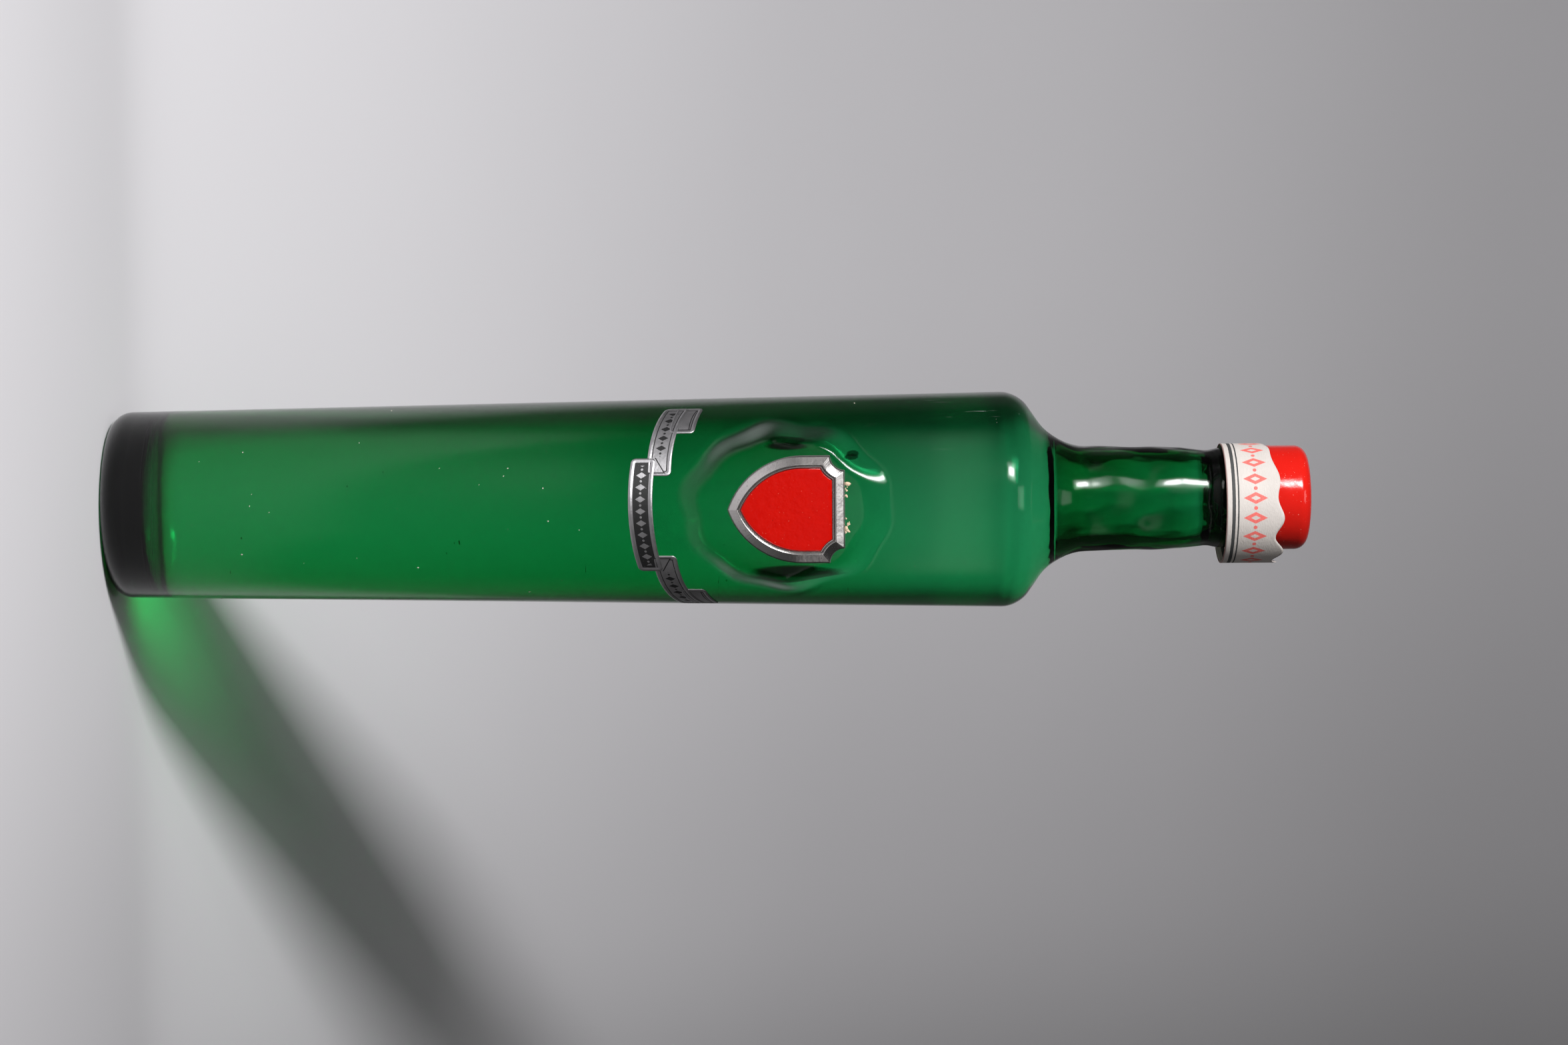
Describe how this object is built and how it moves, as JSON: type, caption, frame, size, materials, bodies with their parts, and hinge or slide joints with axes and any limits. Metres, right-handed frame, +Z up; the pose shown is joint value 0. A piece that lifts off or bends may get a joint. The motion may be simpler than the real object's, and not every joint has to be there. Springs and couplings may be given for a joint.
{
  "type": "aftershave bottle",
  "caption": "Tall tapered green glass lotion bottle with a raised wavy seal, shield badge, scroll label, paper neck band and red screw cap.",
  "frame": {"origin": "centre of the base, on the surface that the bottle stands on", "axes": "+Z up along the bottle's axis; the seal and badge face -Y"},
  "size_m": [0.045, 0.0471, 0.25],
  "materials": {
    "green_glass": "gloss",
    "lotion": "gloss",
    "polyethylene": "satin",
    "label_foil": "satin",
    "tan_card": "matte",
    "badge_metal": "satin",
    "red_enamel": "satin",
    "liner_board": "matte",
    "red_plastic": "gloss",
    "band_paper": "matte"
  },
  "bodies": {
    "bottle": {"glass_bottle": "green_glass", "lotion": "lotion", "orifice_reducer": "polyethylene", "ribbon_label": "label_foil", "badge_backing": "tan_card", "badge_frame": "badge_metal", "badge_enamel": "red_enamel"},
    "band": {"neck_band": "band_paper"},
    "liner": {"cap_liner": "liner_board"},
    "cap": {"screw_cap": "red_plastic"}
  },
  "joints": [
    {"name": "cap_off", "type": "slide", "parent": "bottle", "child": "band", "axis": [0, 0, 1], "range_m": [0, 0.035]},
    {"name": "cap_lift", "type": "slide", "parent": "band", "child": "liner", "axis": [0, 0, 1], "range_m": [0, 0.0048]},
    {"name": "cap_turn", "type": "hinge", "parent": "liner", "child": "cap", "pos_m": [0, 0, 0.2426], "axis": [0, 0, 1], "range_deg": [0, 540]}
  ],
  "couplings": [
    {"joint": "cap_lift", "follows": "cap_turn", "m_per_rad": 0.00050532}
  ]
}
